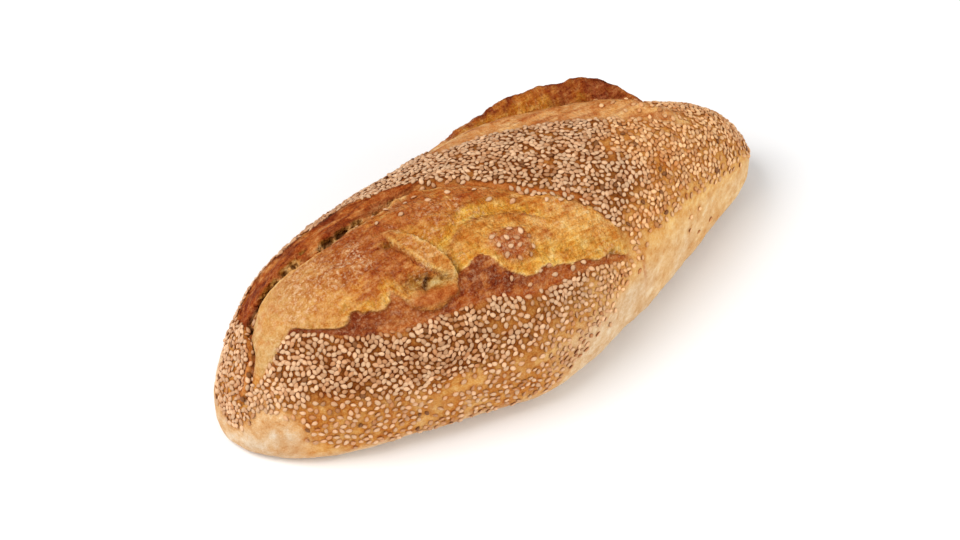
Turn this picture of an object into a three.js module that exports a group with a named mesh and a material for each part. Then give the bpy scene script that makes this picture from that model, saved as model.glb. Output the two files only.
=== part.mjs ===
// A long bread roll, baked as one piece: a loaf with two diagonal slashes that opened in
// the oven. The near slash starts at the left end and runs down the near flank; the far
// slash starts behind it and runs forward over the right end. Each opening has a bulging
// bloom with a torn groove beside it, and the near one has a raised ear of crust.
//
// Frame: +X along the loaf, +Y to the far flank, +Z up. The origin is the centre of the
// loaf's outline on the table.
import * as THREE from 'three';

// Overall body, millimetres
const LENGTH = 246;
const WIDTH = 105;
const HEIGHT = 68;
// How far the dough is flattened against the baking stone
const BASE_FLAT = 1.5;
// Share of the height at which the loaf is widest
const WIDEST_AT = 0.42;
// Roundness of the underside edge: 2 is an ellipse, larger is squarer
const UNDERSIDE_SQUARENESS = 4.7;
// Taper of the plan outline and of the side outline along the loaf
const PLAN_TAPER = { slope: -0.2, waist: -0.46, tips: 0.39 };
const SIDE_TAPER = { slope: -0.11, waist: 0.38, tips: -0.3 };
// How far the two ends lift off the table
const LEFT_LIFT = 3;
const RIGHT_LIFT = 10;
// Sideways bend and skew of the loaf
const BEND = -4.2;
const SKEW = 5.5;

// Edges of the two slashes: [share of the half length, degrees from the crest]
const NEAR_SLASH_LOWER_EDGE = [
  [-0.95, -31], [-0.9, -23], [-0.857, -20], [-0.81, -14], [-0.785, -13], [-0.74, -22], [-0.68, -32],
  [-0.6, -40], [-0.43, -45], [-0.22, -45], [-0.13, -51], [0.1, -54], [0.22, -61], [0.3, -66],
];
const NEAR_SLASH_UPPER_EDGE = [
  [-0.95, -26], [-0.915, -14], [-0.88, 0], [-0.865, 11], [-0.82, 22], [-0.78, 26], [-0.72, 25],
  [-0.6, 20], [-0.46, 18], [-0.23, 17], [-0.08, 6], [0.06, -10], [0.2, -26], [0.27, -47], [0.3, -56],
];
const FAR_SLASH_LOWER_EDGE = [
  [-0.17, 34], [0, 38], [0.15, 35], [0.33, 24], [0.5, 11], [0.67, -9], [0.75, -20],
];
const FAR_SLASH_UPPER_EDGE = [[-0.17, 52], [0.08, 76], [0.35, 84], [0.55, 74], [0.75, 0]];
// Stretches over which each slash opens and closes again
const NEAR_SLASH_OPENS = [-0.93, -0.84];
const NEAR_SLASH_CLOSES = [0.14, 0.3];
const FAR_SLOPE_OPENS = [-0.17, 0.2];
const FAR_SLOPE_CLOSES = [0.6, 0.75];
const FAR_BLOOM_OPENS = [-0.14, 0.42];
const FAR_BLOOM_CLOSES = [0.52, 0.65];
// The ear peels up on the left of these stretches, narrows and dies out across them
const EAR_DIES_OUT = [-0.3, -0.05];
const EAR_NARROWS = [-0.48, -0.2];

// Relief of the openings, millimetres from the skin of the loaf
const NEAR_BLOOM_RISE = 2.6;
const NEAR_BLOOM_SETTLES = 1.4;
const NEAR_GROOVE_DEPTH = 2.4;
const NEAR_GROOVE_WIDTH = 2.4;
const EAR_RISE = 1.6;
const EAR_REACH = 16;
const EAR_REACH_LOST = 11.5;
const LIP_RISE = 0.8;
const LIP_WIDTH = 6;
const FAR_SLOPE_RISE = 3.4;
const FAR_CREVICE_DEPTH = 3;
const FAR_BLOOM_RISE = 12.6;
// The far shoulder behind the ear and the foot of the near flank are drawn in a little
const FAR_SHOULDER_SINK = 2.3;
const NEAR_FOOT_SINK = 1.9;
const RIGHT_FOOT_SINK = 2;

// Facets: stations along the loaf, then steps round it between the seams
const STATIONS = 72;
const NEAR_FLANK_STEPS = 8;
const NEAR_SLASH_STEPS = 14;
const STRIP_STEPS = 9;
const FAR_SLASH_STEPS = 14;
const FAR_FLANK_STEPS = 5;
const UNDERSIDE_STEPS = 13;
// Degrees from the crest at which the flanks meet the underside
const FLANK_END = 98;

const radians = (angle) => angle * Math.PI / 180;
const clamp = (value) => Math.min(Math.max(value, 0), 1);

function smooth([from, to], value) {
  const t = clamp((value - from) / (to - from));
  return t * t * (3 - 2 * t);
}

function hump(centre, spread, value) {
  const t = (value - centre) / spread;
  return Math.exp(-t * t);
}

// Smooth line through the stations of an edge
function along(edge, s) {
  const last = edge.length - 1;
  const here = Math.min(Math.max(s, edge[0][0]), edge[last][0]);
  let i = 0;
  while (i < last - 1 && here > edge[i + 1][0]) {
    i += 1;
  }
  const slope = (k) => {
    const before = edge[Math.max(k - 1, 0)];
    const after = edge[Math.min(k + 1, last)];
    return (after[1] - before[1]) / (after[0] - before[0]);
  };
  const step = edge[i + 1][0] - edge[i][0];
  const t = (here - edge[i][0]) / step;
  const ease = t * t * (3 - 2 * t);
  const leave = t * (1 - t) * (1 - t) * step * slope(i);
  const arrive = t * t * (t - 1) * step * slope(i + 1);
  return edge[i][1] + ease * (edge[i + 1][1] - edge[i][1]) + leave + arrive;
}

// Half width, height, lift and sideways offset of the loaf at a station
function section(s) {
  const end = Math.sqrt(Math.max(1 - s * s, 0));
  const taper = (shape) => 1 + shape.slope * s + shape.waist * s ** 2 + shape.tips * s ** 4;
  return {
    halfWidth: WIDTH / 2 * end * taper(PLAN_TAPER),
    height: (HEIGHT + BASE_FLAT) * end * taper(SIDE_TAPER),
    lift: (s < 0 ? LEFT_LIFT : RIGHT_LIFT) * s ** 4,
    offset: BEND * (1 - s * s) + SKEW * s,
  };
}

// Relief of the near slash: bloom, torn groove and ear, with a low lip on the near side
function nearSlash(s, angle, radius) {
  const lower = along(NEAR_SLASH_LOWER_EDGE, s);
  const upper = along(NEAR_SLASH_UPPER_EDGE, s);
  const open = smooth(NEAR_SLASH_OPENS, s) * (1 - smooth(NEAR_SLASH_CLOSES, s));
  const share = clamp((angle - lower) / (upper - lower));
  const belowLower = radians(lower - angle) * radius;
  const aboveUpper = radians(angle - upper) * radius;
  const tear = 1 - 0.85 * smooth(EAR_DIES_OUT, s);
  const rise = NEAR_BLOOM_RISE - NEAR_BLOOM_SETTLES * smooth([-0.25, 0.05], s);
  const bloom = rise * Math.sin(Math.PI * share) ** 0.8;
  const groove = NEAR_GROOVE_DEPTH * tear * hump(-0.2, NEAR_GROOVE_WIDTH, aboveUpper);
  const climb = aboveUpper / (EAR_REACH - EAR_REACH_LOST * smooth(EAR_NARROWS, s));
  const ear = EAR_RISE * tear * smooth([0, 0.8], climb) * hump(1, 0.6, Math.max(climb, 1));
  const lip = LIP_RISE * smooth([-0.6, 1], belowLower) * hump(1, LIP_WIDTH, Math.max(belowLower, 1));
  return open * (bloom - groove + ear + lip);
}

// Relief of the far slash: a smooth slope up to a crevice, then the high bloom behind it
function farSlash(s, angle) {
  const lower = along(FAR_SLASH_LOWER_EDGE, s);
  const upper = along(FAR_SLASH_UPPER_EDGE, s);
  const slopeOpen = smooth(FAR_SLOPE_OPENS, s) * (1 - smooth(FAR_SLOPE_CLOSES, s));
  const bloomOpen = smooth(FAR_BLOOM_OPENS, s) * (1 - smooth(FAR_BLOOM_CLOSES, s));
  const share = clamp((angle - lower) / (upper - lower));
  const slope = FAR_SLOPE_RISE * smooth([0, 0.33], share) * (1 - smooth([0.36, 0.46], share));
  const crevice = FAR_CREVICE_DEPTH * hump(0.39, 0.05, share) * smooth([0.1, 0.35], s);
  const bloom = FAR_BLOOM_RISE * smooth([0.37, 0.5], share) * (1 - smooth([0.6, 1], share));
  return slopeOpen * slope + bloomOpen * (bloom - crevice);
}

// How far the skin is drawn in behind the ear and along the foot of the near flank
function drawnIn(s, angle) {
  const around = angle > 180 ? angle - 360 : angle;
  const shoulder = smooth([15, 50], angle) * (1 - smooth([100, 140], angle))
    * smooth([-1, -0.85], s) * (1 - smooth([0.15, 0.32], s));
  const nearFoot = smooth([55, 85], -around) * smooth([-0.75, -0.5], s) * (1 - smooth([-0.25, 0.05], s));
  const rightFoot = smooth([50, 80], -around) * smooth([0.24, 0.45], s) * (1 - smooth([0.7, 0.95], s));
  return FAR_SHOULDER_SINK * shoulder + NEAR_FOOT_SINK * nearFoot + RIGHT_FOOT_SINK * rightFoot;
}

// One point of the skin; angle in degrees from the crest, positive to the far flank
function skin(s, angle) {
  const { halfWidth, height, lift, offset } = section(s);
  const side = Math.sin(radians(angle));
  const up = Math.cos(radians(angle));
  const power = up >= 0 ? 1 : 2 / UNDERSIDE_SQUARENESS;
  const reach = up >= 0 ? (1 - WIDEST_AT) * height : WIDEST_AT * height;
  const y = halfWidth * Math.sign(side) * Math.abs(side) ** power;
  const z = WIDEST_AT * height + reach * Math.sign(up) * Math.abs(up) ** power + lift - BASE_FLAT;
  const relief = nearSlash(s, angle, halfWidth) + farSlash(s, angle) - drawnIn(s, angle);
  return new THREE.Vector3(
    LENGTH / 2 * s,
    y + offset + relief * side,
    Math.max(z + relief * up, 0),
  );
}

// Angles round one station; the facets follow the edges of both slashes
function roundAngles(s) {
  const seams = [
    -FLANK_END,
    along(NEAR_SLASH_LOWER_EDGE, s),
    along(NEAR_SLASH_UPPER_EDGE, s),
    along(FAR_SLASH_LOWER_EDGE, s),
    along(FAR_SLASH_UPPER_EDGE, s),
    FLANK_END,
    360 - FLANK_END,
  ];
  const steps = [
    NEAR_FLANK_STEPS, NEAR_SLASH_STEPS, STRIP_STEPS, FAR_SLASH_STEPS, FAR_FLANK_STEPS, UNDERSIDE_STEPS,
  ];
  return steps.flatMap((count, band) => Array.from(
    { length: count },
    (_, i) => seams[band] + (seams[band + 1] - seams[band]) * i / count,
  ));
}

// A closed skin: rings of points with one point at each tip
function loafGeometry() {
  const points = [new THREE.Vector3(-LENGTH / 2, -SKEW, LEFT_LIFT)];
  for (let i = 1; i < STATIONS; i += 1) {
    const s = Math.sin(Math.PI / 2 * (2 * i / STATIONS - 1));
    points.push(...roundAngles(s).map((angle) => skin(s, angle)));
  }
  points.push(new THREE.Vector3(LENGTH / 2, SKEW, RIGHT_LIFT));
  const round = (points.length - 2) / (STATIONS - 1);
  const ring = (i, j) => 1 + (i - 1) * round + (j % round);
  const faces = [];
  for (let j = 0; j < round; j += 1) {
    faces.push(0, ring(1, j), ring(1, j + 1));
    for (let i = 1; i < STATIONS - 1; i += 1) {
      faces.push(ring(i, j), ring(i + 1, j), ring(i + 1, j + 1));
      faces.push(ring(i, j), ring(i + 1, j + 1), ring(i, j + 1));
    }
    faces.push(ring(STATIONS - 1, j), points.length - 1, ring(STATIONS - 1, j + 1));
  }
  const geometry = new THREE.BufferGeometry().setFromPoints(points);
  geometry.setIndex(faces);
  geometry.computeBoundingBox();
  const middle = geometry.boundingBox.getCenter(new THREE.Vector3());
  geometry.translate(-middle.x, -middle.y, 0);
  geometry.computeVertexNormals();
  return geometry;
}

const crust = new THREE.MeshStandardMaterial({ color: 0xc98a3c, roughness: 0.75, metalness: 0 });
const loaf = new THREE.Mesh(loafGeometry(), crust);
loaf.name = 'loaf';

const roll = new THREE.Group();
roll.name = 'bread_roll';
roll.add(loaf);

export default roll;
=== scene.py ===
# %% [markdown]
# # A seeded bread roll
# A long roll, baked as one piece on a hot stone. Two diagonal cuts opened in the oven, and
# sesame seeds cover most of the crust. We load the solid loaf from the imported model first,
# because every piece we make must sit in its frame and stay close to its size.

# %% The frame
import math

import bmesh
import bpy
import numpy as np
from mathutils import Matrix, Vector, kdtree


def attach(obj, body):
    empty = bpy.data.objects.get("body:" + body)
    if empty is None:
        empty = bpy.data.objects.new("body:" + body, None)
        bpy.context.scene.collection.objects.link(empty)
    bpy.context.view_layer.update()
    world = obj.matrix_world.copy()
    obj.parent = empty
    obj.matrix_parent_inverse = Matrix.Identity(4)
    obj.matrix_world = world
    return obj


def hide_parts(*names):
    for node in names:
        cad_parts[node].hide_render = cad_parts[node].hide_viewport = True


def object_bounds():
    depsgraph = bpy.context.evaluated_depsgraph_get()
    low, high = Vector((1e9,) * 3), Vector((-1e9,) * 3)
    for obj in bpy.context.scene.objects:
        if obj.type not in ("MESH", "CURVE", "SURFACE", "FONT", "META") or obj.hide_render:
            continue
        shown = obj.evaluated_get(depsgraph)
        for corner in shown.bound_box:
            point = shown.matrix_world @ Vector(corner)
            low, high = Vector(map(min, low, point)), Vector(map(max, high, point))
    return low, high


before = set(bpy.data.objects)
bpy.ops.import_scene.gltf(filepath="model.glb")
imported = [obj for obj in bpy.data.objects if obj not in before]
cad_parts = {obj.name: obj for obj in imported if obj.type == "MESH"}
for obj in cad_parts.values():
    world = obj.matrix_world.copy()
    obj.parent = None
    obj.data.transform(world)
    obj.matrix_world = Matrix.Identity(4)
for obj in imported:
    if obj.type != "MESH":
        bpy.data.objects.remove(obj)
cad_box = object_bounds()
MM = 0.001
print("loaf of the frame", cad_box)

# %% [markdown]
# ## Camera
# The camera stands about a metre away and looks down at the loaf from its near left side.
# It could be aimed by eye. We give it a turn, a tilt and a distance instead, so that its
# place can be read and changed, and a long lens keeps the two ends nearly the same scale.

# %% Camera
CAMERA_TURN = math.radians(-32.18)
CAMERA_TILT = math.radians(48)
CAMERA_DISTANCE = 1.0
LENS = 97.5
# where the camera looks, measured across and up its own view from the middle of the loaf
LOOK_ACROSS = -0.0056
LOOK_UP = -0.0096
LOOK_AT = Vector((0, 0.004582, 0.030))

back = Vector((
    math.sin(CAMERA_TURN) * math.cos(CAMERA_TILT),
    -math.cos(CAMERA_TURN) * math.cos(CAMERA_TILT),
    math.sin(CAMERA_TILT),
))
camera = bpy.data.objects.new("camera", bpy.data.cameras.new("camera"))
camera.data.lens = LENS
camera.data.sensor_width = 36
across = (-back).cross(Vector((0, 0, 1))).normalized()
view_up = across.cross(-back)
aim = LOOK_AT + across * LOOK_ACROSS + view_up * LOOK_UP
camera.location = aim + back * CAMERA_DISTANCE
camera.rotation_euler = back.to_track_quat("Z", "Y").to_euler()
bpy.context.collection.objects.link(camera)
bpy.context.scene.camera = camera
print("camera at", tuple(round(v, 3) for v in camera.location))

# %% [markdown]
# ## Noise
# Dough never tears or browns evenly. Blender's noise textures can vary a material, but they
# can't move a point or count a seed. So we blend a table of random numbers smoothly between
# its cells, which gives one noise for shape, colour and seeds alike.

# %% Noise
TABLE_SIZE = 64
random_table = np.random.default_rng(5).random((TABLE_SIZE,) * 3)


def noise(points, grain, offset=0.0):
    """Smooth noise from 0 to 1 whose bumps are about one grain (mm) across."""
    place = points / grain + 100.0 + offset
    cell = np.floor(place).astype(int)
    part = place - cell
    part = part * part * (3 - 2 * part)
    total = 0.0
    for dx in (0, 1):
        for dy in (0, 1):
            for dz in (0, 1):
                weight = (
                    np.where(dx, part[..., 0], 1 - part[..., 0])
                    * np.where(dy, part[..., 1], 1 - part[..., 1])
                    * np.where(dz, part[..., 2], 1 - part[..., 2])
                )
                total = total + weight * random_table[
                    (cell[..., 0] + dx) % TABLE_SIZE,
                    (cell[..., 1] + dy) % TABLE_SIZE,
                    (cell[..., 2] + dz) % TABLE_SIZE,
                ]
    return total


def rough(points, grain, octaves=3, offset=0.0):
    """Noise with finer noise on top, about -1 to 1; each offset gives another pattern."""
    total = 0.0
    weight = 1.0
    for octave in range(octaves):
        total = total + weight * (2 * noise(points, grain / 2 ** octave, offset + 7.3 * octave) - 1)
        weight *= 0.5
    return total


print("noise table", random_table.shape, "mean", round(float(random_table.mean()), 3))


# %% Soft steps, bumps and lines
def smooth(start, end, value):
    """0 before start, 1 after end, and a soft S between them."""
    t = np.clip((value - start) / (end - start), 0, 1)
    return t * t * (3 - 2 * t)


def hump(centre, spread, value):
    """A soft bump of height 1."""
    return np.exp(-(((value - centre) / spread) ** 2))


def along(edge, s):
    """Smooth line through the stations of an edge."""
    xs = np.array([point[0] for point in edge])
    ys = np.array([point[1] for point in edge])
    slopes = np.empty(len(xs))
    slopes[1:-1] = (ys[2:] - ys[:-2]) / (xs[2:] - xs[:-2])
    slopes[0] = (ys[1] - ys[0]) / (xs[1] - xs[0])
    slopes[-1] = (ys[-1] - ys[-2]) / (xs[-1] - xs[-2])
    here = np.clip(s, xs[0], xs[-1])
    i = np.clip(np.searchsorted(xs, here, side="right") - 1, 0, len(xs) - 2)
    step = xs[i + 1] - xs[i]
    t = (here - xs[i]) / step
    ease = t * t * (3 - 2 * t)
    leave = t * (1 - t) ** 2 * step * slopes[i]
    arrive = t * t * (t - 1) * step * slopes[i + 1]
    return ys[i] + ease * (ys[i + 1] - ys[i]) + leave + arrive


print("a step half way", float(smooth(0, 1, 0.5)))

# %% [markdown]
# ## The body of the loaf
# A roll of dough, shaped by hand and baked on a flat stone. It could be sculpted from a
# subdivided cube, but then the cuts and the seeds would have nothing to measure from. We
# describe each point of the skin by its station s, from -1 at the left tip to 1 at the
# right tip, and by its angle from the crest, negative on the near flank. The body is a
# squashed ellipse at each station, squarer below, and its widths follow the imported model.

# %% Sizes of the loaf, in millimetres
LENGTH = round((cad_box[1][0] - cad_box[0][0]) / MM)
WIDTH = 105
HEIGHT = 68
BASE_FLAT = 1.5
# share of the height at which the loaf is widest
WIDEST_AT = 0.42
UNDERSIDE_SQUARENESS = 4.7
# how the ends taper from above and from the side: shares of s, s squared and s to the fourth
PLAN_TAPER = (-0.2, -0.46, 0.39)
SIDE_TAPER = (-0.11, 0.38, -0.3)
LEFT_LIFT = 3
RIGHT_LIFT = 10
# the long axis bows by BEND at its middle and swings by SKEW at its ends
BEND = -4.2
SKEW = 5.5
MIDDLE_Y = -4.582


def section(s):
    """Half width, height, lift and sideways offset of the loaf at a station."""
    end = np.sqrt(np.maximum(1 - s * s, 0))

    def taper(shape):
        return 1 + shape[0] * s + shape[1] * s ** 2 + shape[2] * s ** 4

    half_width = WIDTH / 2 * end * taper(PLAN_TAPER)
    height = (HEIGHT + BASE_FLAT) * end * taper(SIDE_TAPER)
    lift = np.where(s < 0, LEFT_LIFT, RIGHT_LIFT) * s ** 4
    return half_width, height, lift, BEND * (1 - s * s) + SKEW * s


print("half width, height, lift and offset at the middle", [float(v) for v in section(0.0)])

# %% [markdown]
# ## The two cuts
# The baker drew a blade across the proved loaf twice. Each cut opened into a long leaf
# between two edges, and inside the near one the torn bloom begins at a third, ragged edge.
# Edges could be drawn as Blender curves. We list a few points of each, because the grid,
# the relief and the browning all have to follow the same lines.

# %% Edges of the two cuts: station, then degrees from the crest
NEAR_SLASH_LOWER = [
    (-0.95, -31), (-0.9, -23), (-0.857, -20), (-0.81, -14), (-0.785, -13), (-0.74, -22), (-0.68, -32),
    (-0.6, -40), (-0.43, -45), (-0.22, -45), (-0.13, -51), (0.1, -54), (0.22, -61), (0.3, -66),
]
NEAR_SLASH_UPPER = [
    (-0.95, -26), (-0.915, -14), (-0.88, 0), (-0.865, 11), (-0.82, 22), (-0.78, 26), (-0.72, 25),
    (-0.6, 20), (-0.46, 18), (-0.23, 17), (-0.08, 6), (0.06, -10), (0.2, -26), (0.27, -47), (0.3, -56),
]
# where the smooth baked band ends and the torn bloom begins
TORN_EDGE = [
    (-0.95, -45), (-0.82, -22), (-0.785, -12), (-0.74, -19.5), (-0.7, -25.5), (-0.665, -29),
    (-0.645, -28.5), (-0.62, -25), (-0.585, -29), (-0.53, -31), (-0.5, -26), (-0.475, -30),
    (-0.43, -37), (-0.36, -38), (-0.32, -36), (-0.295, -30), (-0.245, -27), (-0.19, -28),
    (-0.15, -36), (-0.1, -42), (0.0, -44), (0.055, -47), (0.15, -52), (0.24, -58), (0.3, -62),
]
FAR_SLASH_LOWER = [(-0.17, 34), (0, 38), (0.15, 35), (0.33, 24), (0.5, 11), (0.67, -9), (0.75, -20)]
FAR_SLASH_UPPER = [(-0.17, 52), (0.08, 76), (0.35, 84), (0.55, 74), (0.75, 0)]
for name, edge in (("near", NEAR_SLASH_LOWER), ("far", FAR_SLASH_LOWER)):
    print(name, "cut", round((edge[-1][0] - edge[0][0]) * LENGTH / 2), "mm along the loaf")

# %% [markdown]
# ## A grid that follows the cuts
# A torn edge only looks crisp when the mesh runs along it. A plain grid would have to be
# very fine all over to show one. So each ring of points is divided at the edges of the
# cuts, with the finest steps inside them and the coarsest underneath.

# %% Grid of stations and angles
STATIONS = 350
FLANK_END = 98
# steps on the near flank, the near cut, the crown, the far cut, the far flank and underneath
BAND_STEPS = (40, 104, 44, 52, 22, 22)
fine_s = np.sin(np.linspace(-1, 1, 4001) * math.pi / 2)
crowding = 1 + 0.7 * (1 - smooth(0.3, 0.45, fine_s)) + 0.3 / np.sqrt(1.0001 - fine_s ** 2)
passed = np.concatenate([[0], np.cumsum(np.diff(fine_s) * (crowding[1:] + crowding[:-1]) / 2)])
stations = np.interp(np.linspace(0, passed[-1], STATIONS + 2)[1:-1], passed, fine_s)
seams = [
    np.full(STATIONS, -FLANK_END),
    along(NEAR_SLASH_LOWER, stations),
    along(NEAR_SLASH_UPPER, stations),
    along(FAR_SLASH_LOWER, stations),
    along(FAR_SLASH_UPPER, stations),
    np.full(STATIONS, FLANK_END),
    np.full(STATIONS, 360 - FLANK_END),
]
columns = []
for band, steps in enumerate(BAND_STEPS):
    share = np.arange(steps) / steps
    if band == len(BAND_STEPS) - 1:
        share = (1 - np.cos(math.pi * share)) / 2
    columns.append(seams[band][:, None] + (seams[band + 1] - seams[band])[:, None] * share)
angle = np.concatenate(columns, axis=1)
s = np.repeat(stations[:, None], angle.shape[1], axis=1)
print("grid", angle.shape)

# %% [markdown]
# ## Where each point lies in the cuts
# Millimetres past an edge, and shares across an opening, drive both the shape and the
# browning. We could work them out again for each effect. We keep them as grids instead, so
# that a colour can never slip away from the ridge or groove it belongs to.

# %% Places in the cuts
EAR_REACH = 16
EAR_REACH_LOST = 11.5
half_width, height, lift, offset = section(s)
lower = along(NEAR_SLASH_LOWER, s)
upper = along(NEAR_SLASH_UPPER, s)
torn = along(TORN_EDGE, s)
far_lower = along(FAR_SLASH_LOWER, s)
far_upper = along(FAR_SLASH_UPPER, s)
# millimetres of crust to one degree
arc = np.radians(1) * half_width
signed_angle = np.where(angle > 180, angle - 360, angle)
near_open = smooth(-0.93, -0.84, s) * (1 - smooth(0.14, 0.3, s))
far_open = smooth(-0.08, 0.4, s) * (1 - smooth(0.53, 0.66, s))
slope_open = smooth(-0.12, 0.22, s) * (1 - smooth(0.6, 0.75, s))
near_share = np.clip((angle - lower) / (upper - lower), 0, 1)
far_share = np.clip((angle - far_lower) / (far_upper - far_lower), 0, 1)
below_lower = (lower - angle) * arc
above_upper = (angle - upper) * arc
tear = 1 - 0.85 * smooth(-0.3, -0.05, s)
# distance from the groove to the free edge of the ear, and the share of it climbed
ear_reach = EAR_REACH - EAR_REACH_LOST * smooth(-0.48, -0.2, s)
ear_climb = above_upper / ear_reach
print("widest opening", round(float(((upper - lower) * arc * near_open).max()), 1), "mm")

# %% [markdown]
# ## Broad relief
# Steam pushed the crumb up through each cut. The near one has a low bloom, a groove and a
# raised ear of crust, and the far one a pale slope, a crevice and a high bloom. They could
# be separate meshes laid on the loaf, but bread has no seam there. So we only lift and sink
# the points of the one skin.

# %% Heights and depths, in millimetres
BLOOM_RISE = 2.6
BLOOM_RISE_LOST = 1.4
GROOVE_DEPTH = 2.4
EAR_RISE = 1.2
EAR_RIM = 0.9
LIP_RISE = 0.8
SLOPE_RISE = 3.4
CREVICE_DEPTH = 4.5
FAR_BLOOM_RISE = 12.6
SHOULDER_SINK = 2.3
SHOULDER_SINK_LOST = 1.1
NEAR_FOOT_SINK = 1.9
RIGHT_FOOT_SINK = 2.0
NEAR_SWELL = 1.3
NEAR_HOLLOW = 1.7
print("blooms rise", BLOOM_RISE, "and", FAR_BLOOM_RISE, "mm")

# %% Body with its broad relief
side = np.sin(np.radians(angle))
up = np.cos(np.radians(angle))
power = np.where(up >= 0, 1.0, 2 / UNDERSIDE_SQUARENESS)
reach = np.where(up >= 0, 1 - WIDEST_AT, WIDEST_AT) * height
y = half_width * np.sign(side) * np.abs(side) ** power
z = WIDEST_AT * height + reach * np.sign(up) * np.abs(up) ** power + lift - BASE_FLAT

bloom_height = BLOOM_RISE - BLOOM_RISE_LOST * smooth(-0.25, 0.05, s)
bloom_rise = bloom_height * np.sin(np.pi * near_share) ** 0.8
groove = GROOVE_DEPTH * tear * hump(-0.2, 2.4, above_upper)
ear = tear * (
    EAR_RISE * smooth(0, 0.8, ear_climb) * hump(1, 0.6, np.maximum(ear_climb, 1))
    + EAR_RIM * hump(0.95, 0.12, ear_climb)
)
lip = LIP_RISE * smooth(-0.6, 1, below_lower) * hump(1, 6, np.maximum(below_lower, 1))
near_relief = near_open * (bloom_rise - groove + ear + lip)

slope_rise = SLOPE_RISE * smooth(0, 0.33, far_share) * (1 - smooth(0.36, 0.46, far_share))
crevice = CREVICE_DEPTH * hump(0.39, 0.035, far_share) * smooth(0.1, 0.35, s)
far_bloom = FAR_BLOOM_RISE * smooth(0.37, 0.5, far_share) * (1 - smooth(0.6, 1, far_share))
far_relief = slope_open * slope_rise + far_open * (far_bloom - crevice)

far_shoulder = smooth(15, 50, angle) * (1 - smooth(100, 140, angle))
far_shoulder = far_shoulder * smooth(-1, -0.85, s) * (1 - smooth(-0.24, 0.02, s))
shoulder_sink = SHOULDER_SINK - SHOULDER_SINK_LOST * hump(-0.66, 0.16, s)
near_foot = smooth(55, 85, -signed_angle) * smooth(-0.75, -0.5, s) * (1 - smooth(-0.4, -0.12, s))
right_foot = smooth(50, 80, -signed_angle) * smooth(0.24, 0.45, s) * (1 - smooth(0.7, 0.95, s))
swell = NEAR_SWELL * hump(-0.1, 0.1, s) - NEAR_HOLLOW * hump(0.24, 0.09, s)
near_bulge = smooth(50, 80, -signed_angle) * swell
relief = (
    near_relief + far_relief - shoulder_sink * far_shoulder
    - NEAR_FOOT_SINK * near_foot - RIGHT_FOOT_SINK * right_foot + near_bulge
)
body = np.stack([
    LENGTH / 2 * s,
    y + offset - MIDDLE_Y + relief * side,
    z + relief * up,
], axis=-1)


def grid_normals(points):
    """Outward direction at each point of the grid."""
    down_length = np.gradient(points, axis=0)
    ahead = np.roll(points, -1, axis=1) - np.roll(points, 1, axis=1)
    normal = np.cross(ahead, down_length)
    normal = -normal / (np.linalg.norm(normal, axis=-1, keepdims=True) + 1e-9)
    outward = np.stack([0 * side, side, up], axis=-1)
    flip = np.sign((normal * outward).sum(axis=-1, keepdims=True))
    return normal * np.where(flip == 0, 1, flip)


normal = grid_normals(body)
tangent = np.stack([0 * side, up, -side], axis=-1)
print("body", body.reshape(-1, 3).min(0).round(1), body.reshape(-1, 3).max(0).round(1))

# %% [markdown]
# ## Masks of the openings
# A mask is a grid from 0 to 1 that says where one kind of surface is: baked band, torn
# bloom, ear or old skin. We could paint them by hand on the mesh. Worked out from the
# edges, they keep crisp ragged borders, and every later step can share them.

# %% Masks of the openings
def spot(at_s, at_angle, long_mm, wide_mm, turn=0.0):
    """A soft spot on the skin: 1 at its middle, fading at its length and width."""
    du = (s - at_s) * LENGTH / 2
    dv = (angle - at_angle) * arc
    c = math.cos(math.radians(turn))
    d = math.sin(math.radians(turn))
    u = c * du + d * dv
    v = -d * du + c * dv
    return np.exp(-((u / (long_mm / 2)) ** 2) - (v / (wide_mm / 2)) ** 2)


def add_spots(places):
    """Several spots added up: strength, then station, angle, length, width and turn of each."""
    return sum(strength * spot(*place) for strength, *place in places)


torn_wander = 1.5 * rough(body, 6, 4, 3.0) + 0.9 * rough(body, 2.4, 2, 19.0)
past_torn = (angle - torn) * arc + torn_wander * smooth(-0.68, -0.56, s)
ragged = 0.5 * rough(body, 3.5, 2, 17.0)
right_ragged = 2.6 * rough(body, 7, 4, 18.0) * smooth(-0.05, 0.08, s)
below_upper = ragged + right_ragged - above_upper - 2 * smooth(0, 0.1, s)
in_slash = smooth(-0.5, 0.5, ragged - below_lower) * smooth(-0.5, 0.5, below_upper)
in_slash = in_slash * smooth(0, 0.3, near_open)
# the dough flap hangs over the band, so there the torn edge has no step
flap_zone = np.clip(1.5 * spot(-0.385, -37, 26, 8, -4), 0, 1)
torn_share = smooth(-0.3 - 3.2 * flap_zone, 0.5 - 0.4 * flap_zone, past_torn)
in_bloom = in_slash * torn_share
in_band = in_slash * (1 - torn_share)
in_far = smooth(0, 0.02, far_share + 0.01 * ragged) * (1 - smooth(0.97, 1, far_share))
in_far = in_far * smooth(0.02, 0.2, slope_open + 0.2 * ragged)
far_torn = in_far * smooth(0.385, 0.42, far_share) * smooth(0.05, 0.2, far_open)
# the smooth tongue of dough at the left end of the bloom
tongue = smooth(-0.93, -0.88, s) * (1 - smooth(-0.85, -0.5, s)) * in_slash
seeded = 1 - np.maximum(in_slash, in_far)
ear_face = smooth(0, 0.3, near_open) * smooth(0.5, 1, tear) * smooth(-0.5, 0.5, above_upper) * (
    1 - smooth(-1, 1, above_upper - ear_reach + 4 * ragged)
) * smooth(-0.87, -0.855, s)
print("bloom, band and far cut cover", [round(float(m.mean()), 3) for m in (in_bloom, in_band, in_far)])

# %% [markdown]
# ## Holes under the ear
# Where the ear lifted, the dough under it pulled apart into a row of dark holes with pale
# strands between them. They could be cut with booleans, but those leave hard rims. We sink
# the skin in flat-bottomed wells instead, and noise frays their edges.

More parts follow.
